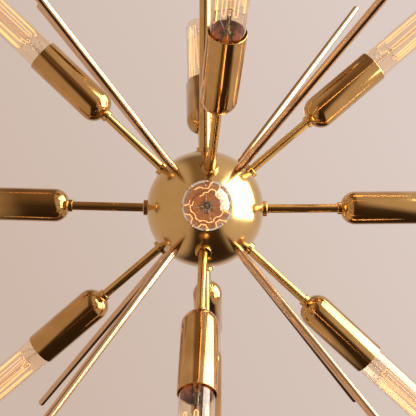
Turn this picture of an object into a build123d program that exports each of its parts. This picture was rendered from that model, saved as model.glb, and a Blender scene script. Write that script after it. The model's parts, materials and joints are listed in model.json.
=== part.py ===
from build123d import *
import math
import os

os.makedirs("parts", exist_ok=True)

# ---------------------------------------------------------------------------
# Multi arm chandelier: a round brass hub on a down rod, with lamp arms and
# plain rods standing out of it in every direction.  Millimetres, +Z up, and
# the origin is at the middle of the crossbar's top face, on the ceiling.
# ---------------------------------------------------------------------------

# Where things stand
HUB_DROP = 450.0          # ceiling to hub centre
HUB_R = 63.5

# Each lamp's turn about the stem and its lift above level, in degrees: the
# front, right, back and left lamp of each ring.  The arms are screwed home by
# hand, so each stands a degree or two off its quarter.
UPPER_ARMS = ((6.0, 41.6), (0.0, 40.4), (2.0, 40.5), (4.0, 43.4))
MIDDLE_ARMS = ((0.0, 1.7), (0.0, 0.4), (0.0, 1.5), (0.0, 1.5))
LOWER_ARMS = ((-2.5, -41.5), (-4.0, -42.4), (-1.5, -41.5), (-4.0, -40.4))
ROD_LIFT = 41.5
ROD_TURN = 2.0

# Distances out from the hub centre along a lamp
TUBE_START = 50.0
CUP_BACK = 147.0
CUP_MOUTH = 239.0
CONTACT = 176.0           # where the bulb's end contact rests
BASE_TOP = 202.0          # where the bulb's glass starts
BULB_TIP = 400.0

# Hub
SHELL_WALL = 1.5
CORE_R = 11.0
CORE_BORE_R = 5.0
CORE_WINDOW_R = 4.0
HOLE_GAP = 0.1            # how much wider a hole is than the tube in it, on the radius

# Tubes, rods and the small turned rings
TUBE_R = 4.75
TUBE_BORE_R = 3.75
ROD_R = 4.4
COLLAR_R = 8.5
COLLAR_TOP = 67.5
CUP_RING_R = 6.75
CUP_RING_LENGTH = 3.6
NUT_FLAT_TO_FLAT = 14.0
NUT_HEIGHT = 4.0
LEAD_R = 1.2

# Lamp cup and lampholder
CUP_R = 18.0
CUP_WALL = 1.0
CUP_DOME_R = 16.0
HOLDER_R = 15.8
HOLDER_BORE_R = 14.2
HOLDER_BACK = 158.0
HOLDER_FLOOR = 172.0
HOLDER_FRONT = 205.0
SCREW_SHELL_R = 14.1
SCREW_SHELL_BORE_R = 13.3

# Bulb
BASE_R = 13.0
GLASS_R = 16.0
GLASS_WALL = 0.8
NECK_R = 12.6
NECK_LENGTH = 3.0
SHOULDER_LENGTH = 12.0

# Stem and the swivel at its top
STEM_R = 6.35
STEM_WALL = 1.2
FLANGE_R = 9.5
FLANGE_TOP = 66.8
NECK_OUTER_R = 11.0       # swivel neck
NECK_TOP = -8.0
NECK_BOTTOM = -34.0
JOURNAL_R = 6.5
JOURNAL_GAP = 0.06
FORK_R = 10.8
FORK_TOP = -34.3
PIN_Z = -53.0
PIN_R = 2.5
PIN_GAP = 0.05
EAR_R = 9.0
SLOT_WIDTH = 10.0
EYE_WIDTH = 9.6
EYE_R = 8.0
COUPLER_R = 9.0
COUPLER_TOP = -66.0
COUPLER_BOTTOM = -82.0
STEM_TOP = -70.0

# Ceiling bar and canopy
BAR_LENGTH = 108.0
BAR_WIDTH = 20.0
BAR_THICKNESS = 2.5
BAR_SLOT_SPACING = 70.0
BAR_SLOT_LENGTH = 12.0
BAR_SLOT_R = 2.5
NIPPLE_R = 5.1
NIPPLE_BORE_R = 3.6
CANOPY_R = 65.0
CANOPY_DEPTH = 26.0
CANOPY_WALL = 1.0
CANOPY_CORNER_R = 9.0
CANOPY_HOLE_R = 11.3
WASHER_R = 15.0
WASHER_THICKNESS = 1.0
RING_R = 16.5
RING_BORE_R = 11.1
RING_HEIGHT = 6.0

hub_centre = Vector(0, 0, -HUB_DROP)
upright = Align.CENTER, Align.CENTER, Align.MIN


def ray(turn, lift):
    """A location at the hub centre whose Z runs out along one arm."""
    turn_angle = math.radians(turn)
    lift_angle = math.radians(lift)
    out = Vector(
        math.cos(lift_angle) * math.cos(turn_angle),
        math.cos(lift_angle) * math.sin(turn_angle),
        math.sin(lift_angle),
    )
    side = Vector(-math.sin(turn_angle), math.cos(turn_angle), 0)
    return Plane(origin=hub_centre, x_dir=side, z_dir=out).location


def ring_of_rays(arms):
    """Four arms, about a quarter turn apart: front, right, back and left."""
    quarters = (-90, 0, 90, 180)
    return [ray(quarter + turn, lift) for quarter, (turn, lift) in zip(quarters, arms)]


rings = {
    "upper": ring_of_rays(UPPER_ARMS),
    "middle": ring_of_rays(MIDDLE_ARMS),
    "lower": ring_of_rays(LOWER_ARMS),
    "bottom": [ray(0, -90)],
}
lamp_rays = [place for ring in rings.values() for place in ring]
rod_rings = {
    "upper": ring_of_rays([(45 + ROD_TURN, ROD_LIFT)] * 4),
    "lower": ring_of_rays([(45 + ROD_TURN, -ROD_LIFT)] * 4),
}
rod_rays = [place for ring in rod_rings.values() for place in ring]


def save(piece, label):
    piece.part.label = label
    export_step(piece.part, "parts/" + label + ".step")


def turned(outline):
    """One turned piece: its half outline in the XZ plane, spun about Z."""
    with BuildPart() as piece:
        with BuildSketch(Plane.XZ):
            with BuildLine():
                outline()
            make_face()
        revolve(axis=Axis.Z)
    return piece


def box_outline(inner, outer, low, high):
    """The half outline of a plain ring or disc."""
    return lambda: Polyline((inner, low), (outer, low), (outer, high), (inner, high), close=True)


def copies(pattern, places):
    """The same piece at each place, as separate solids of one group."""
    with BuildPart() as group:
        with Locations(*places):
            add(pattern.part)
    return group


# ---------------------------------------------------------------------------
# Hub: two spun half shells, clamped over a turned core
# ---------------------------------------------------------------------------


def half_shell(upper):
    side = 1 if upper else -1
    with BuildPart() as shell:
        with Locations(hub_centre):
            Sphere(HUB_R)
            Sphere(HUB_R - SHELL_WALL, mode=Mode.SUBTRACT)
        with Locations((0, 0, -HUB_DROP - side * HUB_R)):
            Box(3 * HUB_R, 3 * HUB_R, 2 * HUB_R, mode=Mode.SUBTRACT)
        with Locations(*lamp_rays):
            Cylinder(TUBE_R + HOLE_GAP, 2 * HUB_R, align=upright, mode=Mode.SUBTRACT)
        with Locations(*rod_rays):
            Cylinder(ROD_R + HOLE_GAP, 2 * HUB_R, align=upright, mode=Mode.SUBTRACT)
        with Locations(hub_centre):
            Cylinder(STEM_R + HOLE_GAP, 2 * HUB_R, align=upright, mode=Mode.SUBTRACT)
    return shell


save(half_shell(True), "hub_upper_shell")
save(half_shell(False), "hub_lower_shell")

CORE_SOCKET_DEPTH = 10.0
with BuildPart() as hub_core:
    with Locations(hub_centre):
        Cylinder(CORE_R, 2 * TUBE_START)
        Cylinder(CORE_BORE_R, 2 * TUBE_START, mode=Mode.SUBTRACT)
    with Locations((0, 0, -HUB_DROP + TUBE_START - CORE_SOCKET_DEPTH)):
        Cylinder(STEM_R, CORE_SOCKET_DEPTH, align=upright, mode=Mode.SUBTRACT)
    for height in (-20, 20):
        with Locations((0, 0, -HUB_DROP + height)):
            Cylinder(CORE_WINDOW_R, 3 * CORE_R, rotation=(90, 0, 0), mode=Mode.SUBTRACT)
            Cylinder(CORE_WINDOW_R, 3 * CORE_R, rotation=(0, 90, 0), mode=Mode.SUBTRACT)
save(hub_core, "hub_core")

# ---------------------------------------------------------------------------
# Lamp arms: tube, hub collar, cup ring, cup, lampholder and lead
# ---------------------------------------------------------------------------

arm_tube = turned(box_outline(TUBE_BORE_R, TUBE_R, TUBE_START, HOLDER_BACK))
for ring_name, ring in rings.items():
    save(copies(arm_tube, ring), "arm_tubes_" + ring_name)

with BuildPart() as arm_collar:
    with Locations((0, 0, HUB_R - 4)):
        Cylinder(COLLAR_R, COLLAR_TOP - HUB_R + 4, align=upright)
    fillet(arm_collar.edges().group_by(Axis.Z)[-1], 0.8)
    Sphere(HUB_R, mode=Mode.SUBTRACT)
    Cylinder(TUBE_R, 2 * HUB_R, align=upright, mode=Mode.SUBTRACT)
save(copies(arm_collar, lamp_rays), "arm_collars")

# A cup is spun: a domed back that runs into a straight tube, open at the mouth
DOME_FLAT = CUP_R - CUP_DOME_R
DOME_CENTRE = CUP_BACK + CUP_DOME_R
TUBE_HOLE_R = TUBE_R + HOLE_GAP


def cup_blank(inset):
    """The cup's outside, or its inside when inset by the wall."""
    radius = CUP_DOME_R - inset
    start = DOME_CENTRE - radius
    Line((0, start), (DOME_FLAT, start))
    RadiusArc((DOME_FLAT, start), (CUP_R - inset, DOME_CENTRE), -radius)
    Polyline((CUP_R - inset, DOME_CENTRE), (CUP_R - inset, CUP_MOUTH), (0, CUP_MOUTH), (0, start))


cup_outside = turned(lambda: cup_blank(0))
cup_inside = turned(lambda: cup_blank(CUP_WALL))

with BuildPart() as cup:
    add(cup_outside.part)
    add(cup_inside.part, mode=Mode.SUBTRACT)
    with Locations((0, 0, CUP_BACK - 1)):
        Cylinder(TUBE_HOLE_R, CUP_DOME_R, align=upright, mode=Mode.SUBTRACT)
    fillet(cup.edges().group_by(Axis.Z)[-1], 0.4)
for ring_name, ring in rings.items():
    save(copies(cup, ring), "cups_" + ring_name)

with BuildPart() as cup_ring:
    with Locations((0, 0, CUP_BACK - CUP_RING_LENGTH)):
        Cylinder(CUP_RING_R, CUP_RING_LENGTH + 1.5, align=upright)
    fillet(cup_ring.edges().group_by(Axis.Z)[0], 0.7)
    add(cup_outside.part, mode=Mode.SUBTRACT)
    Cylinder(TUBE_R, 2 * CUP_BACK, align=upright, mode=Mode.SUBTRACT)
save(copies(cup_ring, lamp_rays), "cup_rings")


# The same nut holds each tube and rod inside the hub, and each cup on its tube
def tube_nut(bottom):
    with BuildPart() as nut:
        with BuildSketch(Plane.XY.offset(bottom)):
            RegularPolygon(NUT_FLAT_TO_FLAT / 2, 6, major_radius=False)
            Circle(TUBE_R, mode=Mode.SUBTRACT)
        extrude(amount=NUT_HEIGHT)
    return nut


HUB_NUT_BOTTOM = 57.0
CUP_NUT_BOTTOM = 150.5
hub_nut = tube_nut(HUB_NUT_BOTTOM)
cup_nut = tube_nut(CUP_NUT_BOTTOM)
with BuildPart() as tube_nuts:
    with Locations(*lamp_rays, *rod_rays):
        add(hub_nut.part)
    with Locations(*lamp_rays):
        add(cup_nut.part)
save(tube_nuts, "tube_nuts")

# The lampholder is a moulded body, closed at the back, with a screw shell in it
WIRE_HOLE_R = TUBE_BORE_R
with BuildPart() as lampholder:
    with Locations((0, 0, HOLDER_BACK)):
        Cylinder(HOLDER_R, HOLDER_FRONT - HOLDER_BACK, align=upright)
    fillet(lampholder.edges().group_by(Axis.Z)[0], 2.5)
    with Locations((0, 0, HOLDER_FLOOR)):
        Cylinder(HOLDER_BORE_R, HOLDER_FRONT, align=upright, mode=Mode.SUBTRACT)
    with Locations((0, 0, HOLDER_BACK - 1)):
        Cylinder(WIRE_HOLE_R, HOLDER_BACK, align=upright, mode=Mode.SUBTRACT)
save(copies(lampholder, lamp_rays), "lampholders")

SCREW_SHELL_RISE = 5.0    # the shell starts this far above the holder's floor
shell_low = HOLDER_FLOOR + SCREW_SHELL_RISE
screw_shell = turned(box_outline(SCREW_SHELL_BORE_R, SCREW_SHELL_R, shell_low, HOLDER_FRONT - 1))
save(copies(screw_shell, lamp_rays), "screw_shells")

# The contact tongue is a sprung strip, bent up off the holder's floor
TONGUE_THICKNESS = 0.6
TONGUE_WIDTH = 6.0
TONGUE_REACH = 9.0
with BuildPart() as contact_tongue:
    with BuildSketch(Plane.XZ):
        with BuildLine():
            Polyline(
                (-TONGUE_REACH, HOLDER_FLOOR),
                (TONGUE_REACH / 2, CONTACT - TONGUE_THICKNESS),
                (TONGUE_REACH / 2, CONTACT),
                (-TONGUE_REACH / 3, CONTACT),
                (-TONGUE_REACH, HOLDER_FLOOR + TONGUE_THICKNESS),
                close=True,
            )
        make_face()
    extrude(amount=TONGUE_WIDTH / 2, both=True)
save(copies(contact_tongue, lamp_rays), "contact_tongues")

# Two insulated leads lie side by side in each tube
with BuildPart() as twin_lead:
    with Locations((-LEAD_R - 0.2, 0, TUBE_START), (LEAD_R + 0.2, 0, TUBE_START)):
        Cylinder(LEAD_R, HOLDER_FLOOR - 2 - TUBE_START, align=upright)
save(copies(twin_lead, lamp_rays), "arm_leads")

# ---------------------------------------------------------------------------
# Plain rods between the lamps
# ---------------------------------------------------------------------------

with BuildPart() as rod:
    with Locations((0, 0, TUBE_START)):
        Cylinder(ROD_R, BULB_TIP - TUBE_START, align=upright)
    fillet(rod.edges().group_by(Axis.Z)[-1], ROD_R - 0.4)
for ring_name, ring in rod_rings.items():
    save(copies(rod, ring), "rods_" + ring_name)

# ---------------------------------------------------------------------------
# Bulbs: a long tubular glass on a screw base, one body for each lamp
# ---------------------------------------------------------------------------


def glass_outline(inset, low):
    """The glass's half outline: neck, shoulder, straight tube and round tip."""
    shoulder = BASE_TOP + NECK_LENGTH
    straight = shoulder + SHOULDER_LENGTH
    tip = BULB_TIP - GLASS_R
    neck_radius = NECK_R - inset
    radius = GLASS_R - inset
    Polyline((0, low), (neck_radius, low), (neck_radius, shoulder), (radius, straight), (radius, tip))
    CenterArc((0, tip), radius, 0, 90)
    Line((0, tip + radius), (0, low))


glass_outside = turned(lambda: glass_outline(0, BASE_TOP))
glass_inside = turned(lambda: glass_outline(GLASS_WALL, BASE_TOP - 1))
with BuildPart() as bulb_glass:
    add(glass_outside.part)
    add(glass_inside.part, mode=Mode.SUBTRACT)

BUTTON_R = 4.5
BUTTON_HEIGHT = 1.5
INSULATOR_TOP = 7.0


def base_outline():
    """End button, tapered insulator and screw shell, in one turned outline."""
    Polyline(
        (0, CONTACT),
        (BUTTON_R, CONTACT),
        (BUTTON_R + 0.5, CONTACT + BUTTON_HEIGHT),
        (BASE_R - 2, CONTACT + INSULATOR_TOP - 1.5),
        (BASE_R, CONTACT + INSULATOR_TOP),
        (BASE_R, BASE_TOP),
        (0, BASE_TOP),
        close=True,
    )


bulb_base = turned(base_outline)
for number, place in enumerate(lamp_rays, start=1):
    save(copies(bulb_base, [place]), "bulb_base_%02d" % number)
    save(copies(bulb_glass, [place]), "bulb_glass_%02d" % number)

# ---------------------------------------------------------------------------
# Stem: the down rod from the swivel to the hub
# ---------------------------------------------------------------------------

stem_low = -HUB_DROP + TUBE_START - CORE_SOCKET_DEPTH
save(turned(box_outline(STEM_R - STEM_WALL, STEM_R, stem_low, STEM_TOP)), "stem")

with BuildPart() as stem_flange:
    with Locations((0, 0, -HUB_DROP + HUB_R - 4)):
        Cylinder(FLANGE_R, FLANGE_TOP - HUB_R + 4, align=upright)
    fillet(stem_flange.edges().group_by(Axis.Z)[-1], 0.8)
    with Locations(hub_centre):
        Sphere(HUB_R, mode=Mode.SUBTRACT)
        Cylinder(STEM_R, 2 * HUB_R, align=upright, mode=Mode.SUBTRACT)
save(stem_flange, "stem_flange")

# ---------------------------------------------------------------------------
# Swivel: a neck on the ceiling side, a fork that turns in it, and an eye on
# the stem that tilts on the fork's pin
# ---------------------------------------------------------------------------

NECK_FLOOR = 10.0         # thickness of the bearing wall at the neck's bottom
CAVITY_R = 9.0
CAP_THICKNESS = 4.0
cavity_bottom = NECK_BOTTOM + NECK_FLOOR
cap_bottom = NECK_TOP - CAP_THICKNESS


def neck_outline():
    """Half outline of the neck: journal bore below, nut cavity above."""
    Polyline(
        (JOURNAL_R + JOURNAL_GAP, NECK_BOTTOM),
        (NECK_OUTER_R, NECK_BOTTOM),
        (NECK_OUTER_R, NECK_TOP),
        (CAVITY_R, NECK_TOP),
        (CAVITY_R, cavity_bottom),
        (JOURNAL_R + JOURNAL_GAP, cavity_bottom),
        close=True,
    )


save(turned(neck_outline), "swivel_neck")
save(turned(box_outline(NIPPLE_R, CAVITY_R, cap_bottom, NECK_TOP)), "neck_cap")

JOURNAL_TOP = -18.0
RETAINER_R = 8.3
RETAINER_HEIGHT = 4.0
LIFT_GAP = 0.3            # up and down play of the journal
retainer_low = cavity_bottom + LIFT_GAP
retainer = turned(box_outline(JOURNAL_R, RETAINER_R, retainer_low, retainer_low + RETAINER_HEIGHT))
save(retainer, "journal_nut")

SLOT_TOP = PIN_Z + EYE_R + 1.0
with BuildPart() as swivel_fork:
    with Locations((0, 0, PIN_Z)):
        Cylinder(FORK_R, FORK_TOP - PIN_Z, align=upright)
    with Locations((0, 0, FORK_TOP)):
        Cylinder(JOURNAL_R, JOURNAL_TOP - FORK_TOP, align=upright)
    with BuildSketch(Plane.YZ):
        with Locations((0, PIN_Z)):
            Circle(EAR_R)
    extrude(amount=FORK_R - 1.5, both=True)
    with Locations((0, 0, PIN_Z - EAR_R)):
        Cylinder(FORK_R, JOURNAL_TOP - PIN_Z + EAR_R, align=upright, mode=Mode.INTERSECT)
    with Locations((0, 0, SLOT_TOP)):
        ears_space = Align.CENTER, Align.CENTER, Align.MAX
        Box(SLOT_WIDTH, 3 * FORK_R, 3 * EAR_R, align=ears_space, mode=Mode.SUBTRACT)
    with Locations((0, 0, PIN_Z)):
        Cylinder(PIN_R, 3 * FORK_R, rotation=(0, 90, 0), mode=Mode.SUBTRACT)
    with Locations((0, 0, SLOT_TOP - 1)):
        Cylinder(NIPPLE_BORE_R, -SLOT_TOP, align=upright, mode=Mode.SUBTRACT)
save(swivel_fork, "swivel_fork")

PIN_LENGTH = 2 * (FORK_R - 1.5)
with BuildPart() as swivel_pin:
    with Locations((0, 0, PIN_Z)):
        Cylinder(PIN_R, PIN_LENGTH, rotation=(0, 90, 0))
    chamfer(swivel_pin.edges().filter_by(GeomType.CIRCLE), 0.4)
save(swivel_pin, "swivel_pin")

with BuildPart() as swivel_eye:
    with BuildSketch(Plane.YZ):
        with Locations((0, PIN_Z)):
            Circle(EYE_R)
        with Locations((0, (PIN_Z + COUPLER_TOP) / 2)):
            Rectangle(2 * EYE_R, PIN_Z - COUPLER_TOP)
    extrude(amount=EYE_WIDTH / 2, both=True)
    with Locations((0, 0, COUPLER_BOTTOM)):
        Cylinder(COUPLER_R, COUPLER_TOP - COUPLER_BOTTOM, align=upright)
    fillet(swivel_eye.edges().filter_by(GeomType.CIRCLE).group_by(Axis.Z)[0], 1.0)
    with Locations((0, 0, COUPLER_BOTTOM)):
        Cylinder(STEM_R, STEM_TOP - COUPLER_BOTTOM, align=upright, mode=Mode.SUBTRACT)
        Cylinder(NIPPLE_BORE_R - 1, 2 * EYE_R - COUPLER_BOTTOM, align=upright, mode=Mode.SUBTRACT)
    with Locations((0, 0, PIN_Z)):
        Cylinder(PIN_R + PIN_GAP, 3 * EYE_R, rotation=(0, 90, 0), mode=Mode.SUBTRACT)
save(swivel_eye, "swivel_eye")

# ---------------------------------------------------------------------------
# Ceiling side: crossbar, threaded nipple and its nut
# ---------------------------------------------------------------------------

with BuildPart() as crossbar:
    with BuildSketch(Plane.XY.offset(-BAR_THICKNESS)):
        RectangleRounded(BAR_LENGTH, BAR_WIDTH, 4)
        Circle(NIPPLE_R, mode=Mode.SUBTRACT)
        with Locations((-BAR_SLOT_SPACING / 2, 0), (BAR_SLOT_SPACING / 2, 0)):
            SlotOverall(BAR_SLOT_LENGTH, 2 * BAR_SLOT_R, mode=Mode.SUBTRACT)
    extrude(amount=BAR_THICKNESS)
save(crossbar, "crossbar")

save(turned(box_outline(NIPPLE_BORE_R, NIPPLE_R, cap_bottom, 0)), "hanger_nipple")

with BuildPart() as hanger_nut:
    with BuildSketch(Plane.XY.offset(-BAR_THICKNESS - NUT_HEIGHT)):
        RegularPolygon(8, 6, major_radius=False)
        Circle(NIPPLE_R, mode=Mode.SUBTRACT)
    extrude(amount=NUT_HEIGHT)
save(hanger_nut, "hanger_nut")

# ---------------------------------------------------------------------------
# Canopy: a spun pan that hides the ceiling side, with a washer and the ring
# that screws up the neck to hold it
# ---------------------------------------------------------------------------


def canopy_blank(inset):
    """The pan's half outline, with a round corner."""
    radius = CANOPY_R - inset
    low = -CANOPY_DEPTH + inset
    corner = CANOPY_CORNER_R - inset
    Polyline((0, 0), (0, low), (radius - corner, low))
    RadiusArc((radius - corner, low), (radius, low + corner), -corner)
    Polyline((radius, low + corner), (radius, 0), (0, 0))


canopy_outside = turned(lambda: canopy_blank(0))
canopy_inside = turned(lambda: canopy_blank(CANOPY_WALL))
with BuildPart() as canopy:
    add(canopy_outside.part)
    add(canopy_inside.part, mode=Mode.SUBTRACT)
    with Locations((0, 0, -CANOPY_DEPTH)):
        Cylinder(CANOPY_HOLE_R, 4 * CANOPY_WALL, mode=Mode.SUBTRACT)
save(canopy, "canopy")

washer_low = -CANOPY_DEPTH - WASHER_THICKNESS
save(turned(box_outline(CANOPY_HOLE_R, WASHER_R, washer_low, -CANOPY_DEPTH)), "canopy_washer")

# The ring's edge is knurled with straight grooves
GROOVE_COUNT = 36
GROOVE_R = 0.8
with BuildPart() as canopy_ring:
    with Locations((0, 0, washer_low - RING_HEIGHT)):
        Cylinder(RING_R, RING_HEIGHT, align=upright)
    chamfer(canopy_ring.edges().filter_by(GeomType.CIRCLE), 0.8)
    with Locations((0, 0, washer_low - RING_HEIGHT)):
        Cylinder(RING_BORE_R, RING_HEIGHT, align=upright, mode=Mode.SUBTRACT)
        with PolarLocations(RING_R + 0.2, GROOVE_COUNT):
            Cylinder(GROOVE_R, RING_HEIGHT, align=upright, mode=Mode.SUBTRACT)
save(canopy_ring, "canopy_ring")
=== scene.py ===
import json
import math
import random

import bpy
from mathutils import Matrix, Vector


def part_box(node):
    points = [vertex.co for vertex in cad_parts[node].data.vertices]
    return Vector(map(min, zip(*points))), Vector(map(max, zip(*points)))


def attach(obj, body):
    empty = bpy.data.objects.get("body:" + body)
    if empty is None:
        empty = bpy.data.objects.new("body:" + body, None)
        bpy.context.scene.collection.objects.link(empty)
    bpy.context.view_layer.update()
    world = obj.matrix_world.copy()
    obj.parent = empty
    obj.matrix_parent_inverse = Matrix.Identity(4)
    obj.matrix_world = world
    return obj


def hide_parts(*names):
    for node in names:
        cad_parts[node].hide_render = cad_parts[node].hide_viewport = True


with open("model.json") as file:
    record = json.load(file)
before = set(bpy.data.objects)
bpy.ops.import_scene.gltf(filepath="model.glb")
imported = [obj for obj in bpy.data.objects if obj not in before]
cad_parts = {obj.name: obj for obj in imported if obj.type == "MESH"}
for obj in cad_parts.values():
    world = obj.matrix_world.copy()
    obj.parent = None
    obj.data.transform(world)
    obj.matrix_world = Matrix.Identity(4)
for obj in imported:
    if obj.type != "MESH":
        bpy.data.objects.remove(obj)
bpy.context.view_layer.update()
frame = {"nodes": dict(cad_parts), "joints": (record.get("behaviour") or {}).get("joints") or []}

# ---------------------------------------------------------------------------
# Camera.  It stands level in front of the hub, close in, as someone on a step
# would see the fitting, so that only the middle of it fills the view.
# ---------------------------------------------------------------------------

CAMERA_LENS = 72.4        # millimetres
CAMERA_FROM_HUB = (-0.003, -0.908, 0.0216)
CAMERA_DIP = 1.29         # degrees below level
CAMERA_TURN = -0.38       # degrees

hub_centre = Vector((0, 0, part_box("hub_lower_shell")[1].z))
scene = bpy.context.scene
camera_data = bpy.data.cameras.new("camera")
camera_data.lens = CAMERA_LENS
camera_data.clip_start = 0.05
camera = bpy.data.objects.new("camera", camera_data)
scene.collection.objects.link(camera)
camera.location = hub_centre + Vector(CAMERA_FROM_HUB)
camera.rotation_euler = (math.radians(90 - CAMERA_DIP), 0, math.radians(CAMERA_TURN))
scene.camera = camera

# ---------------------------------------------------------------------------
# Room.  Plain warm walls, a little lighter to the upper right, a pale floor
# well below, and a tall window to the right.  The polished brass also mirrors
# the unlit side of the room, so that part of it shows in reflections alone.
# ---------------------------------------------------------------------------


def colour(hex_code):
    """An sRGB hex colour as the linear values that shaders take."""
    parts = [int(hex_code[i:i + 2], 16) / 255 for i in (0, 2, 4)]
    linear = [p / 12.92 if p <= 0.04045 else ((p + 0.055) / 1.055) ** 2.4 for p in parts]
    return (*linear, 1.0)


def add_node(tree, kind, settings=None, links=None):
    """One node, with its settings and what feeds its inputs.

    Inputs go by name or number.  The stops of a colour ramp are given from
    low to high, each a position and an sRGB hex colour.
    """
    node = tree.nodes.new(kind)
    for key, value in (settings or {}).items():
        if key == "stops":
            first, *middle, last = value
            elements = node.color_ramp.elements
            for element, (position, hex_code) in zip(elements, (first, last)):
                element.position = position
                element.color = colour(hex_code)
            for position, hex_code in middle:
                elements.new(position).color = colour(hex_code)
        elif isinstance(key, int) or key in node.inputs:
            node.inputs[key].default_value = value
        else:
            setattr(node, key, value)
    for key, socket in (links or {}).items():
        tree.links.new(socket, node.inputs[key])
    return node


def new_material(name, settings):
    """A material with these settings of its shader, and its tree and shader."""
    material = bpy.data.materials.new(name)
    material.use_nodes = True
    shader = material.node_tree.nodes["Principled BSDF"]
    for key, value in settings.items():
        shader.inputs[key].default_value = value
    return material, material.node_tree, shader


scene.view_settings.view_transform = "Standard"
world = bpy.data.worlds.new("room walls")
scene.world = world
world.use_nodes = True
room = world.node_tree
room.nodes.clear()
toward = add_node(room, "ShaderNodeTexCoord").outputs["Generated"]

# The walls grow paler to the right and upward.
lean = add_node(
    room, "ShaderNodeVectorMath", {"operation": "DOT_PRODUCT", 1: (1.8, 0, 0.9)}, {0: toward}
)
share = add_node(
    room, "ShaderNodeMath", {"operation": "ADD", "use_clamp": True, 1: 0.5},
    {0: lean.outputs["Value"]},
)
wall = add_node(
    room, "ShaderNodeValToRGB", {"stops": [(0.0, "CEB8AA"), (1.0, "DDCCC3")]},
    {"Fac": share.outputs[0]},
)

# An unlit band, mirrored by the brass but not seen through glass, runs over
# from the ceiling to the floor behind the camera.  It is paler upward.
rise = add_node(
    room, "ShaderNodeVectorMath", {"operation": "DOT_PRODUCT", 1: (0, 0, 0.5)}, {0: toward}
)
height = add_node(
    room, "ShaderNodeMath", {"operation": "ADD", "use_clamp": True, 1: 0.5},
    {0: rise.outputs["Value"]},
)
unlit = add_node(
    room, "ShaderNodeValToRGB",
    {"stops": [(0.0, "3A2C23"), (0.45, "4A3A2F"), (0.95, "8C735F")]},
    {"Fac": height.outputs[0]},
)
ray = add_node(room, "ShaderNodeLightPath").outputs
band = add_node(
    room, "ShaderNodeMath", {"operation": "SUBTRACT", "use_clamp": True},
    {0: ray["Is Glossy Ray"], 1: ray["Is Transmission Ray"]},
).outputs[0]

# It ends softly at its left, at its right, and where the far wall begins: each
# end has the slope by which it fades and its value straight at the hub.
for slope, start in (((6, 0, 0), 2.78), ((-6, 0, -1.68), 2.42), ((0, -4, 0), 3.38)):
    lean = add_node(
        room, "ShaderNodeVectorMath", {"operation": "DOT_PRODUCT", 1: slope}, {0: toward}
    )
    edge = add_node(
        room, "ShaderNodeMath", {"operation": "ADD", "use_clamp": True, 1: start},
        {0: lean.outputs["Value"]},
    )
    band = add_node(
        room, "ShaderNodeMath", {"operation": "MULTIPLY"}, {0: band, 1: edge.outputs[0]}
    ).outputs[0]

# A mix node's colours are its inputs 6 and 7, and its result is output 2.
mixed = add_node(
    room, "ShaderNodeMix", {"data_type": "RGBA"},
    {0: band, 6: wall.outputs["Color"], 7: unlit.outputs["Color"]},
)
walls = add_node(room, "ShaderNodeBackground", {"Strength": 1.0}, {"Color": mixed.outputs[2]})
add_node(room, "ShaderNodeOutputWorld", None, {"Surface": walls.outputs["Background"]})

FLOOR_DROP = 1.55         # metres below the hub
FLOOR_HALF = 4.2

floor_mesh = bpy.data.meshes.new("floor")
floor_z = hub_centre.z - FLOOR_DROP
corners = [
    (x * FLOOR_HALF, y * FLOOR_HALF, floor_z) for x, y in ((-1, -1), (1, -1), (1, 1), (-1, 1))
]
floor_mesh.from_pydata(corners, [], [(0, 1, 2, 3)])
floor = bpy.data.objects.new("floor", floor_mesh)
scene.collection.objects.link(floor)
floor.visible_glossy = False
# Flat floor paint: pale and even, with no shine.
paint = new_material("pale painted floor", {"Base Color": colour("D8CDC4"), "Roughness": 0.8})[0]
floor_mesh.materials.append(paint)

WINDOW_HEADING = 98       # degrees to the right of straight ahead
WINDOW_LIFT = 20          # degrees above level
WINDOW_DISTANCE = 2.0
WINDOW_WIDE = 2.2
WINDOW_TALL = 2.7
WINDOW_RADIANCE = 8.0

heading, lift = math.radians(WINDOW_HEADING), math.radians(WINDOW_LIFT)
window_side = Vector((
    math.sin(heading) * math.cos(lift), math.cos(heading) * math.cos(lift), math.sin(lift)
))
window_data = bpy.data.lights.new("window", "AREA")
window_data.shape = "RECTANGLE"
window_data.size = WINDOW_WIDE
window_data.size_y = WINDOW_TALL
window_data.energy = WINDOW_RADIANCE * math.pi * WINDOW_WIDE * WINDOW_TALL
window_data.color = colour("FFF7EC")[:3]
window = bpy.data.objects.new("window", window_data)
scene.collection.objects.link(window)
window.location = hub_centre + window_side * WINDOW_DISTANCE
window.rotation_euler = (-window_side).to_track_quat("-Z", "Y").to_euler()
window.visible_camera = False

# ---------------------------------------------------------------------------
# Hub.  Two half shells spun from brass sheet, butted at the middle, polished
# and then left to age, so the metal mirrors softly and is a little uneven.
# ---------------------------------------------------------------------------

LINE_PITCH = 0.002        # polishing lines, far coarser than real so as to show
LINE_STRETCH = 0.02       # how slowly a line changes along itself
PATCHES_PER_METRE = 26.0  # handled patches, about 38 mm apart


def smooth(mesh, sharpest=40):
    """Smooth shading that keeps edges sharper than this many degrees."""
    for polygon in mesh.polygons:
        polygon.use_smooth = True
    mesh.set_sharp_from_angle(angle=math.radians(sharpest))


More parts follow.
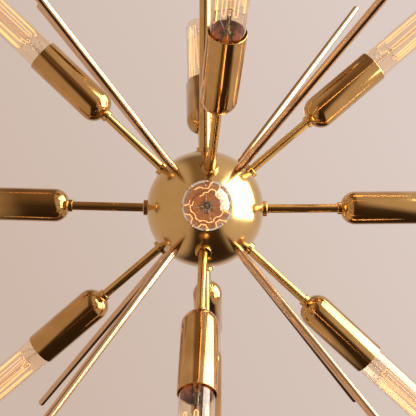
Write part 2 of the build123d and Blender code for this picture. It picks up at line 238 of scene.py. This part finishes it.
def aged_brass(name, light, dark, roughness, lengthwise):
    """Brass, spun or drawn and polished, then aged.

    It gives a deep gold mirror under clear lacquer, blurred a little by fine
    polishing lines and by duller, browner patches where it was handled.  The
    lines run along the piece, or round it.
    """
    material, tree, shader = new_material(
        name, {"Metallic": 1.0, "Coat Weight": 0.5, "Coat Roughness": 0.06}
    )
    place = add_node(tree, "ShaderNodeTexCoord").outputs["Object"]
    patches = add_node(
        tree, "ShaderNodeTexNoise", {"Scale": PATCHES_PER_METRE, "Detail": 4.0}, {"Vector": place}
    )
    tone = add_node(
        tree, "ShaderNodeValToRGB", {"stops": [(0.3, dark), (0.7, light)]},
        {"Fac": patches.outputs["Fac"]},
    )
    tree.links.new(tone.outputs["Color"], shader.inputs["Base Color"])
    fine, coarse = 1 / LINE_PITCH, LINE_STRETCH / LINE_PITCH
    scale = (fine, fine, coarse) if lengthwise else (coarse, coarse, fine)
    stretch = add_node(tree, "ShaderNodeMapping", {"Scale": scale}, {"Vector": place})
    lines = add_node(
        tree, "ShaderNodeTexNoise", {"Scale": 1.0, "Detail": 2.0},
        {"Vector": stretch.outputs["Vector"]},
    )
    handled = add_node(
        tree, "ShaderNodeMath",
        {"operation": "MULTIPLY_ADD", 1: roughness * 0.7, 2: roughness * 0.5},
        {0: patches.outputs["Fac"]},
    )
    blur = add_node(
        tree, "ShaderNodeMath", {"operation": "MULTIPLY_ADD", 1: roughness * 0.3},
        {0: lines.outputs["Fac"], 2: handled.outputs[0]},
    )
    tree.links.new(blur.outputs[0], shader.inputs["Roughness"])
    return material


def finish_nodes(names, material):
    """A material and smooth shading for CAD nodes that stay in view."""
    for name in names:
        mesh = frame["nodes"][name].data
        mesh.materials.clear()
        mesh.materials.append(material)
        smooth(mesh)


hub_brass = aged_brass("aged spun brass, satin", "DEBA78", "D2A962", 0.17, False)
finish_nodes(["hub_upper_shell", "hub_lower_shell"], hub_brass)

# ---------------------------------------------------------------------------
# Lamp arms.  A drawn brass tube screwed into the hub through a turned collar,
# polished along its length and aged like the hub.  Each bulb's own slide says
# which way its lamp points, so every piece is made along Z and laid on it.
# ---------------------------------------------------------------------------

RINGS = ("upper", "middle", "lower", "bottom")
TUBE_R = 0.00475
TUBE_BORE_R = 0.00375
TUBE_LOW = 0.050
TUBE_HIGH = 0.158
COLLAR_R = 0.0085
COLLAR_FILLET_R = 0.0008
COLLAR_SHOULDER = 0.0660
COLLAR_TOP = 0.0675

lamps = []
for joint in frame["joints"]:
    if joint["name"].startswith("bulb_"):
        number = int(joint["child"][-2:])
        lamps.append((number, RINGS[(number - 1) // 4], joint["child"], Vector(joint["axis"])))


def along(direction, roll=0.0):
    """The place at the hub's centre whose Z runs out along a lamp or rod."""
    out = direction.normalized()
    level = Vector((0, 0, 1)).cross(out)
    if level.length < 0.01:
        level = Vector((0, 1, 0))
    level.normalize()
    turn = Matrix((level, out.cross(level), out)).transposed().to_4x4()
    return Matrix.Translation(hub_centre) @ turn @ Matrix.Rotation(roll, 4, "Z")


def lay(name, mesh, place, body):
    """One piece of the fitting, put in place and set to ride on its body."""
    piece = bpy.data.objects.new(name, mesh)
    scene.collection.objects.link(piece)
    piece.matrix_world = place
    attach(piece, body)
    return piece


def lay_brass(name, mesh, direction, node):
    """A polished brass piece of the fitting, in the place of a CAD node."""
    piece = lay(name, mesh, along(direction), "chandelier")
    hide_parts(node)


def spun(name, outline, material, steps=96, closed=True):
    """A mesh of an outline of (radius, height) points turned about Z, in metres."""
    points, faces, rows = [], [], []
    for radius, height in outline:
        if radius < 1e-7:
            rows.append([len(points)])
            points.append((0, 0, height))
            continue
        rows.append(list(range(len(points), len(points) + steps)))
        for i in range(steps):
            turn = 2 * math.pi * i / steps
            points.append((radius * math.cos(turn), radius * math.sin(turn), height))
    pairs = list(zip(rows, rows[1:]))
    if closed:
        pairs.append((rows[-1], rows[0]))
    for low, high in pairs:
        for i in range(steps):
            j = (i + 1) % steps
            corners = [low[i % len(low)], low[j % len(low)]]
            corners += [high[j % len(high)], high[i % len(high)]]
            corners = list(dict.fromkeys(corners))
            if len(corners) > 2:
                faces.append(corners)
    mesh = bpy.data.meshes.new(name)
    mesh.from_pydata(points, [], faces)
    mesh.update()
    smooth(mesh)
    mesh.materials.append(material)
    return mesh


def arc(centre, radius, start, end, steps):
    """Points of an arc in the outline's plane; angles in degrees from +radius."""
    angles = [math.radians(start + (end - start) * i / steps) for i in range(steps + 1)]
    return [(centre[0] + radius * math.cos(a), centre[1] + radius * math.sin(a)) for a in angles]


def pipe(bore, radius, low, high):
    """The outline of a plain tube."""
    return [(bore, low), (radius, low), (radius, high), (bore, high)]


tube_brass = aged_brass("aged drawn brass, polished", "DAB168", "C99B53", 0.13, True)
turned_brass = aged_brass("aged turned brass, polished", "DAB168", "C99B53", 0.13, False)
tube_outline = pipe(TUBE_BORE_R, TUBE_R, TUBE_LOW, TUBE_HIGH)
tube_mesh = spun("arm tube", tube_outline, tube_brass, steps=48)
collar_outline = [(TUBE_R, 0.0633), (COLLAR_R, 0.0629), (COLLAR_R, COLLAR_SHOULDER)]
collar_outline += arc((COLLAR_R - COLLAR_FILLET_R, COLLAR_SHOULDER), COLLAR_FILLET_R, 20, 80, 4)
collar_outline += [(0.0066, COLLAR_TOP - 0.0003), (0.0058, COLLAR_TOP), (TUBE_R, COLLAR_TOP)]
collar_mesh = spun("hub collar", collar_outline, turned_brass, steps=64)
for number, ring, body, direction in lamps:
    lay_brass("arm_tube_%02d" % number, tube_mesh, direction, "arm_tubes_" + ring)
    lay_brass("hub_collar_%02d" % number, collar_mesh, direction, "arm_collars")

# ---------------------------------------------------------------------------
# Rods.  Eight plain solid brass rods between the lamps, round at their tips,
# the brightest polish on the fitting and the least browned.
# ---------------------------------------------------------------------------

ROD_R = 0.0044
ROD_LOW = 0.050
ROD_TIP = 0.400
ROD_TIP_R = 0.004
ROD_TURN = 47             # degrees
ROD_LIFT = 41.5           # degrees

rod_brass = aged_brass("aged brass rod, bright polished", "E2BE93", "D3A97E", 0.1, True)
rod_outline = [(0, ROD_LOW), (ROD_R, ROD_LOW)]
rod_outline += arc((ROD_R - ROD_TIP_R, ROD_TIP - ROD_TIP_R), ROD_TIP_R, 0, 90, 12)
rod_outline += [(0, ROD_TIP)]
rod_mesh = spun("plain rod", rod_outline, rod_brass, steps=48, closed=False)
for ring, lift in (("upper", ROD_LIFT), ("lower", -ROD_LIFT)):
    for quarter, side in enumerate(("front", "right", "back", "left")):
        turn, rise = math.radians(ROD_TURN + 90 * (quarter - 1)), math.radians(lift)
        direction = Vector((
            math.cos(rise) * math.cos(turn), math.cos(rise) * math.sin(turn), math.sin(rise)
        ))
        lay_brass("rod_%s_%s" % (ring, side), rod_mesh, direction, "rods_" + ring)

# ---------------------------------------------------------------------------
# Stem.  A brass tube down from the ceiling to the hub, of the same finish as
# the arms, with a turned flange where it enters the hub.
# ---------------------------------------------------------------------------

STEM_R = 0.00635
STEM_BORE_R = 0.00515

stem_low, stem_high = (corner.z - hub_centre.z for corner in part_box("stem"))
stem_outline = pipe(STEM_BORE_R, STEM_R, stem_low, stem_high)
stem_mesh = spun("stem tube", stem_outline, tube_brass, steps=64)
lay_brass("stem_tube", stem_mesh, Vector((0, 0, 1)), "stem")
finish_nodes(["stem_flange"], turned_brass)

# ---------------------------------------------------------------------------
# Swivel and canopy.  Turned and spun brass at the ceiling end: the canopy pan
# with its washer and knurled ring, and the swivel's neck, fork and eye.
# ---------------------------------------------------------------------------

turned_nodes = ["swivel_neck", "swivel_fork", "swivel_eye", "canopy_washer", "canopy_ring"]
finish_nodes(turned_nodes, turned_brass)
canopy_brass = aged_brass("aged spun brass, canopy", "DEBA78", "CFA460", 0.17, True)
finish_nodes(["canopy"], canopy_brass)

# ---------------------------------------------------------------------------
# Ceiling fixings.  A stamped crossbar, nipple, nuts and pin of mild steel,
# zinc plated, with the plating's faint cloudy spangle.
# ---------------------------------------------------------------------------


def cloudy(name, low, high, roughness, metallic, cloud_size, bump_depth=0.0):
    """A finish that varies from one colour to another in soft clouds.

    The cloud size and the depth of the bumps that go with it are in metres.
    """
    material, tree, shader = new_material(name, {"Metallic": metallic})
    place = add_node(tree, "ShaderNodeTexCoord").outputs["Object"]
    clouds = add_node(
        tree, "ShaderNodeTexNoise", {"Scale": 1 / cloud_size, "Detail": 3.0}, {"Vector": place}
    )
    tone = add_node(
        tree, "ShaderNodeValToRGB", {"stops": [(0.3, low), (0.7, high)]},
        {"Fac": clouds.outputs["Fac"]},
    )
    tree.links.new(tone.outputs["Color"], shader.inputs["Base Color"])
    wear = add_node(
        tree, "ShaderNodeMath",
        {"operation": "MULTIPLY_ADD", 1: roughness * 0.5, 2: roughness * 0.75},
        {0: clouds.outputs["Fac"]},
    )
    tree.links.new(wear.outputs[0], shader.inputs["Roughness"])
    if bump_depth:
        bump = add_node(
            tree, "ShaderNodeBump", {"Distance": bump_depth}, {"Height": clouds.outputs["Fac"]}
        )
        tree.links.new(bump.outputs["Normal"], shader.inputs["Normal"])
    return material


# Bright zinc: a grey, half-dull metal with 4 mm clouds.
zinc = cloudy("mild steel, zinc plated", "9A9C9B", "C2C4C2", 0.35, 1.0, 0.004)
steel_nodes = ["crossbar", "hanger_nipple", "hanger_nut", "neck_cap", "journal_nut"]
finish_nodes(steel_nodes + ["swivel_pin", "tube_nuts"], zinc)

# ---------------------------------------------------------------------------
# Inside the hub and arms.  The turned core that clamps the shells, and the
# twin leads in brown plastic that run out through the tubes.
# ---------------------------------------------------------------------------

# Brass straight from the lathe: duller than the polished brass, and uneven.
core_brass = cloudy("turned brass, unpolished", "B08A48", "CBA763", 0.3, 1.0, 0.003)
finish_nodes(["hub_core"], core_brass)
# Soft PVC: dark brown, with a low, waxy shine.
lead_plastic = cloudy("plastic lead insulation, brown", "3A2415", "4E3220", 0.45, 0.0, 0.002)
finish_nodes(["arm_leads"], lead_plastic)

# ---------------------------------------------------------------------------
# Lamp cups.  A deep-drawn brass cup with a domed back, open at the mouth, its
# outside polished bright, held on its tube by a small turned ring.
# ---------------------------------------------------------------------------

CUP_R = 0.018
CUP_INNER_R = 0.017
CUP_MOUTH = 0.239
CUP_RIM_R = 0.0005
DOME_R = 0.002            # where the dome's rounding is centred
DOME_Z = 0.163
CUP_RING_LOW = 0.1434
CUP_RING_FLAT_R = 0.00605
CUP_RING_FILLET_R = 0.0007

cup_brass = aged_brass("aged deep-drawn brass, bright polished", "D2A765", "B98B4B", 0.12, True)
cup_outline = arc((DOME_R, DOME_Z), CUP_R - DOME_R, -79.5, 0, 24)
cup_outline += arc((CUP_R - CUP_RIM_R, CUP_MOUTH - CUP_RIM_R), CUP_RIM_R, 0, 180, 6)
cup_outline += arc((DOME_R, DOME_Z), CUP_INNER_R - DOME_R, 0, -79, 16)
cup_mesh = spun("lamp cup", cup_outline, cup_brass, steps=128)
ring_corner = (CUP_RING_FLAT_R, CUP_RING_LOW + CUP_RING_FILLET_R)
ring_outline = [(TUBE_R, CUP_RING_LOW), (CUP_RING_FLAT_R, CUP_RING_LOW)]
ring_outline += arc(ring_corner, CUP_RING_FILLET_R, -60, 0, 4)
ring_outline += [(CUP_RING_FLAT_R + CUP_RING_FILLET_R, 0.1477), (TUBE_R, 0.1473)]
cup_ring_mesh = spun("cup ring", ring_outline, turned_brass, steps=48)
for number, ring, body, direction in lamps:
    lay_brass("lamp_cup_%02d" % number, cup_mesh, direction, "cups_" + ring)
    lay_brass("cup_ring_%02d" % number, cup_ring_mesh, direction, "cup_rings")

# ---------------------------------------------------------------------------
# Lampholders.  A black phenolic moulding in each cup, with a screw shell and
# a contact tongue pressed from brass strip.
# ---------------------------------------------------------------------------

# Phenolic: near black and half-dull, with a faint moulded texture.
phenolic = cloudy("phenolic, moulded, black", "0E0C0B", "1C1917", 0.4, 0.0, 0.002, 0.00005)
finish_nodes(["lampholders"], phenolic)
# Brass strip: bright from the rolls, faintly stained by the press.
strip_brass = cloudy("brass strip, pressed", "B8934E", "D2AE68", 0.25, 1.0, 0.003)
finish_nodes(["screw_shells", "contact_tongues"], strip_brass)

# ---------------------------------------------------------------------------
# Bulb base.  A screw base pressed from thin aluminium, with a rounded thread
# down to its insulator and a soldered contact.
# ---------------------------------------------------------------------------

# Bare aluminium: pale grey metal with a soft shine.
aluminium = cloudy("aluminium, pressed", "A8A6A2", "CFCDC9", 0.3, 1.0, 0.002)
finish_nodes(["bulb_base_%02d" % number for number, *rest in lamps], aluminium)

# ---------------------------------------------------------------------------
# Bulb glass.  Clear soda glass tube blown with a round tip, drawn in at the
# neck where it is cemented into the base.
# ---------------------------------------------------------------------------

GLASS_R = 0.016
GLASS_WALL = 0.0008
NECK_R = 0.0126
GLASS_LOW = 0.202
SHOULDER_LOW = GLASS_LOW + 0.003
SHOULDER_HIGH = SHOULDER_LOW + 0.012
GLASS_TIP = 0.400
GLASS_WAVES_PER_METRE = 60.0


def glass_wall(inset):
    """One face of the glass, from the neck to the tip."""
    radius = GLASS_R - inset
    neck = NECK_R - inset
    wall = [(neck, GLASS_LOW), (neck, SHOULDER_LOW)]
    for i in range(1, 12):
        share = i / 12
        ease = share * share * (3 - 2 * share)
        rise = (SHOULDER_HIGH - SHOULDER_LOW) * share
        wall.append((neck + (radius - neck) * ease, SHOULDER_LOW + rise))
    wall.append((radius, SHOULDER_HIGH))
    wall += arc((0, GLASS_TIP - GLASS_R), radius, 0, 90, 18)
    return [(max(r, 0.0), z) for r, z in wall]


# Blown soda glass: clear and a little warm, with slow waves about 17 mm apart.
glass, glass_tree, glass_shader = new_material(
    "clear soda glass",
    {"Base Color": colour("FFF4E4"), "Transmission Weight": 1.0, "IOR": 1.47},
)
glass_place = add_node(glass_tree, "ShaderNodeTexCoord")
glass_waves = add_node(
    glass_tree, "ShaderNodeTexNoise", {"Scale": GLASS_WAVES_PER_METRE, "Detail": 1.0},
    {"Vector": glass_place.outputs["Object"]},
)
glass_bump = add_node(
    glass_tree, "ShaderNodeBump", {"Strength": 0.05, "Distance": 0.0002},
    {"Height": glass_waves.outputs["Fac"]},
)
glass_tree.links.new(glass_bump.outputs["Normal"], glass_shader.inputs["Normal"])
glass_rough = add_node(
    glass_tree, "ShaderNodeMapRange", {"To Min": 0.0, "To Max": 0.02},
    {"Value": glass_waves.outputs["Fac"]},
)
glass_tree.links.new(glass_rough.outputs["Result"], glass_shader.inputs["Roughness"])
glass_outline = glass_wall(0) + glass_wall(GLASS_WALL)[::-1]
glass_mesh = spun("bulb glass", glass_outline, glass, steps=96)

# ---------------------------------------------------------------------------
# Bulb mount.  A lead-glass flare, pressed flat round the wires, with a thin
# glass arbor that carries a button of support hooks near each end.
# ---------------------------------------------------------------------------

FLARE_LOW = 0.2025
PRESS_LOW = 0.226
PRESS_HIGH = 0.240
ARBOR_R = 0.0020
ARBOR_HIGH = 0.381
BUTTON_R = 0.0030
HOOKS_LOW = 0.263
HOOKS_HIGH = 0.377
STREAK_SIZE = 0.0025

mount_outline = [
    (0, FLARE_LOW + 0.001), (0.0108, FLARE_LOW), (0.0095, FLARE_LOW + 0.004),
    (0.0062, FLARE_LOW + 0.011), (0.0052, PRESS_LOW), (0.0048, PRESS_HIGH - 0.003),
    (0.0034, PRESS_HIGH), (ARBOR_R, PRESS_HIGH + 0.002), (ARBOR_R, HOOKS_LOW - 0.002),
    (BUTTON_R, HOOKS_LOW - 0.001), (BUTTON_R, HOOKS_LOW + 0.001), (ARBOR_R, HOOKS_LOW + 0.002),
    (ARBOR_R, HOOKS_HIGH - 0.002), (BUTTON_R, HOOKS_HIGH - 0.001),
    (BUTTON_R, HOOKS_HIGH + 0.001), (0.0022, ARBOR_HIGH - 0.001), (0, ARBOR_HIGH),
]
# Lead glass: clear and bright, with the ripples that the press leaves.
mount_glass, mount_tree, mount_shader = new_material(
    "lead glass, pressed",
    {"Base Color": colour("F4EEE6"), "Transmission Weight": 1.0, "IOR": 1.5, "Roughness": 0.05},
)
mount_place = add_node(mount_tree, "ShaderNodeTexCoord")
mount_streaks = add_node(
    mount_tree, "ShaderNodeTexNoise", {"Scale": 1 / STREAK_SIZE, "Detail": 2.0},
    {"Vector": mount_place.outputs["Object"]},
)
mount_bump = add_node(
    mount_tree, "ShaderNodeBump", {"Strength": 0.3, "Distance": 0.0004},
    {"Height": mount_streaks.outputs["Fac"]},
)
mount_tree.links.new(mount_bump.outputs["Normal"], mount_shader.inputs["Normal"])
mount_mesh = spun("bulb mount", mount_outline, mount_glass, steps=24, closed=False)

# ---------------------------------------------------------------------------
# Heat shield.  A thin ring of brown mica over the neck, round the press, that
# keeps the filament's heat from the base.  The filament's light shining
# through it is not traced but painted on as a glow.

SHIELD_LOW = 0.2172
SHIELD_THICK = 0.0004
SHIELD_R = 0.0148
SHIELD_HOLE_R = 0.0064

# Mica: mottled orange brown in 2.5 mm flakes, faintly uneven.  Its lighter tones and its warm
# emission are a painted glow for the filament's light shining through it.
mica = cloudy("mica, brown, with painted glow", "8A4E22", "DA9450", 0.35, 0.0, 0.0025, 0.0002)
mica_shader = mica.node_tree.nodes["Principled BSDF"]
# Painted glow: this emission stands in for the filament's light through the mica; the mica is no
# lamp.
mica_shader.inputs["Emission Color"].default_value = colour("C2702F")
mica_shader.inputs["Emission Strength"].default_value = 0.5
shield_outline = pipe(SHIELD_HOLE_R, SHIELD_R, SHIELD_LOW, SHIELD_LOW + SHIELD_THICK)
shield_mesh = spun("heat shield", shield_outline, mica, steps=48)

# ---------------------------------------------------------------------------
# Filament and its wires.  A coiled tungsten wire strung up and down between
# the hooks as a squirrel cage, open on one side where its two ends come down.
# ---------------------------------------------------------------------------

CAGE_LEGS = 14
CAGE_OPENING = 50         # degrees left open in the cage
CAGE_HIGH_R = 0.0110
CAGE_LOW_R = 0.0128
CAGE_SWELL = 0.05         # how far a leg bows out, as a share of the radius
FILAMENT_R = 0.00036
END_DROP = 0.007          # the two ends stop this far below the lower hooks
BEND_DEPTH = 0.0016
HOOK_RISE = 0.0012
WIRE_R = 0.00022
STAIN_SIZE = 0.004


def wire(points, radius, corners=8):
    """A round wire through these points, as lists of mesh points and faces."""
    mesh_points, mesh_faces = [], []
    for i, point in enumerate(points):
        before = points[max(i - 1, 0)]
        after = points[min(i + 1, len(points) - 1)]
        run = (after - before).normalized()
        # Any direction that no wire runs along will do to start its corners.
        side = run.cross(Vector((0.31, 0.17, 0.93)))
        side.normalize()
        other = run.cross(side)
        for k in range(corners):
            turn = 2 * math.pi * k / corners
            mesh_points.append(point + (side * math.cos(turn) + other * math.sin(turn)) * radius)
    for i in range(len(points) - 1):
        low, high = i * corners, (i + 1) * corners
        for k in range(corners):
            n = (k + 1) % corners
            mesh_faces.append([low + k, low + n, high + n, high + k])
    mesh_faces.append(list(range(corners))[::-1])
    last = (len(points) - 1) * corners
    mesh_faces.append([last + k for k in range(corners)])
    return mesh_points, mesh_faces


def wires_mesh(name, runs, radius, material):
    """One mesh of several wires."""
    all_points, all_faces = [], []
    for run in runs:
        points, faces = wire(run, radius)
        start = len(all_points)
        all_points += points
        all_faces += [[start + i for i in face] for face in faces]
    mesh = bpy.data.meshes.new(name)
    mesh.from_pydata(all_points, [], all_faces)
    mesh.update()
    smooth(mesh, 60)
    mesh.materials.append(material)
    return mesh


def cage_point(turn, radius, height):
    """A point at a turn and radius round the bulb's axis."""
    return Vector((radius * math.cos(turn), radius * math.sin(turn), height))


cage_turns = []
for leg in range(CAGE_LEGS):
    share = leg / (CAGE_LEGS - 1)
    cage_turns.append(math.radians(CAGE_OPENING / 2 + (360 - CAGE_OPENING) * share))

# Where the wire is bent round each hook, a wide bend of four points.
strung = []
for leg, turn in enumerate(cage_turns):
    at_top = leg % 2 == 1
    height, reach = (HOOKS_HIGH, CAGE_HIGH_R) if at_top else (HOOKS_LOW, CAGE_LOW_R)
    if leg in (0, CAGE_LEGS - 1):
        height = HOOKS_LOW - END_DROP
        at_top = False
    bend = BEND_DEPTH * (1 if at_top else -1)
    for offset, dip in ((-0.13, bend), (-0.06, 0.2 * bend), (0.06, 0.2 * bend), (0.13, bend)):
        strung.append(cage_point(turn + offset, reach, height - dip))

# The long legs between the bends, bowed out a little as they sag in the heat.
relaxed = []
for first, second in zip(strung, strung[1:]):
    steps = 8 if (second - first).length > 0.02 else 1
    for i in range(steps):
        share = i / steps
        point = first.lerp(second, share)
        swell = 1 + CAGE_SWELL * math.sin(math.pi * share) if steps > 1 else 1
        relaxed.append(Vector((point.x * swell, point.y * swell, point.z)))
relaxed.append(strung[-1])

# Lit tungsten: a soft orange-cream glow, banded by the coil's turns, which are
# drawn 0.6 mm apart so as to show.
tungsten, tungsten_tree, tungsten_shader = new_material(
    "tungsten coil, lit",
    {
        "Base Color": colour("3A322C"), "Metallic": 1.0, "Roughness": 0.5,
        "Emission Strength": 2.2,
    },
)
coil_place = add_node(tungsten_tree, "ShaderNodeTexCoord")
coil_turns = add_node(
    tungsten_tree, "ShaderNodeTexWave",
    {"wave_type": "BANDS", "bands_direction": "Z", "Scale": 500.0},
    {"Vector": coil_place.outputs["Object"]},
)
coil_glow = add_node(
    tungsten_tree, "ShaderNodeValToRGB", {"stops": [(0.0, "FFA55C"), (1.0, "FFC68A")]},
    {"Fac": coil_turns.outputs["Fac"]},
)
tungsten_tree.links.new(coil_glow.outputs["Color"], tungsten_shader.inputs["Emission Color"])
filament_mesh = wires_mesh("filament", [relaxed], FILAMENT_R, tungsten)

# The support hooks, from their buttons out to the bends.
hook_runs = []
for leg, turn in enumerate(cage_turns[1:-1], start=1):
    at_top = leg % 2 == 1
    height, reach = (HOOKS_HIGH, CAGE_HIGH_R) if at_top else (HOOKS_LOW, CAGE_LOW_R)
    tip = height + (HOOK_RISE if at_top else -HOOK_RISE)
    hook_runs.append([
        cage_point(turn, 0.0025, height),
        cage_point(turn, reach * 0.6, height + (tip - height) * 1.5),
        cage_point(turn, reach + 0.0004, tip),
    ])

# The two lead-in wires, from the press out to the filament's ends.
for end, side in ((cage_turns[0], 1), (cage_turns[-1], -1)):
    hook_runs.append([
        Vector((0.0012, 0.0024 * side, PRESS_LOW)),
        Vector((0.0012, 0.0024 * side, PRESS_HIGH + 0.001)),
        cage_point(end, CAGE_LOW_R * 0.7, PRESS_HIGH + 0.008),
        cage_point(end, CAGE_LOW_R, HOOKS_LOW - END_DROP + 0.0002),
    ])

# Drawn nickel: grey, fairly bright, with 4 mm heat stains.
nickel, nickel_tree, nickel_shader = new_material(
    "nickel wire", {"Metallic": 1.0, "Roughness": 0.3}
)
nickel_place = add_node(nickel_tree, "ShaderNodeTexCoord")
nickel_stain = add_node(
    nickel_tree, "ShaderNodeTexNoise", {"Scale": 1 / STAIN_SIZE},
    {"Vector": nickel_place.outputs["Object"]},
)
nickel_tone = add_node(
    nickel_tree, "ShaderNodeValToRGB", {"stops": [(0.0, "8C8178"), (1.0, "B8AEA4")]},
    {"Fac": nickel_stain.outputs["Fac"]},
)
nickel_tree.links.new(nickel_tone.outputs["Color"], nickel_shader.inputs["Base Color"])
hooks_mesh = wires_mesh("support wires", hook_runs, WIRE_R, nickel)

# ---------------------------------------------------------------------------
# Bulbs in place.  Each is put together from its glass, mount, shield, wires
# and filament, and was screwed in to wherever its thread came tight.
# ---------------------------------------------------------------------------

FRONT_ROLL = 140          # degrees; the front bulb's cage opens at the upper left

rolls = random.Random(7)
for number, ring, body, direction in lamps:
    roll = rolls.uniform(0, 2 * math.pi)
    if direction.y < -0.9:
        roll = math.radians(FRONT_ROLL)
    place = along(direction, roll)
    envelope = lay("bulb_envelope_%02d" % number, glass_mesh, place, body)
    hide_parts("bulb_glass_%02d" % number)
    lay("bulb_mount_%02d" % number, mount_mesh, place, body)
    lay("bulb_shield_%02d" % number, shield_mesh, place, body)
    lay("bulb_hooks_%02d" % number, hooks_mesh, place, body)
    lay("bulb_filament_%02d" % number, filament_mesh, place, body)
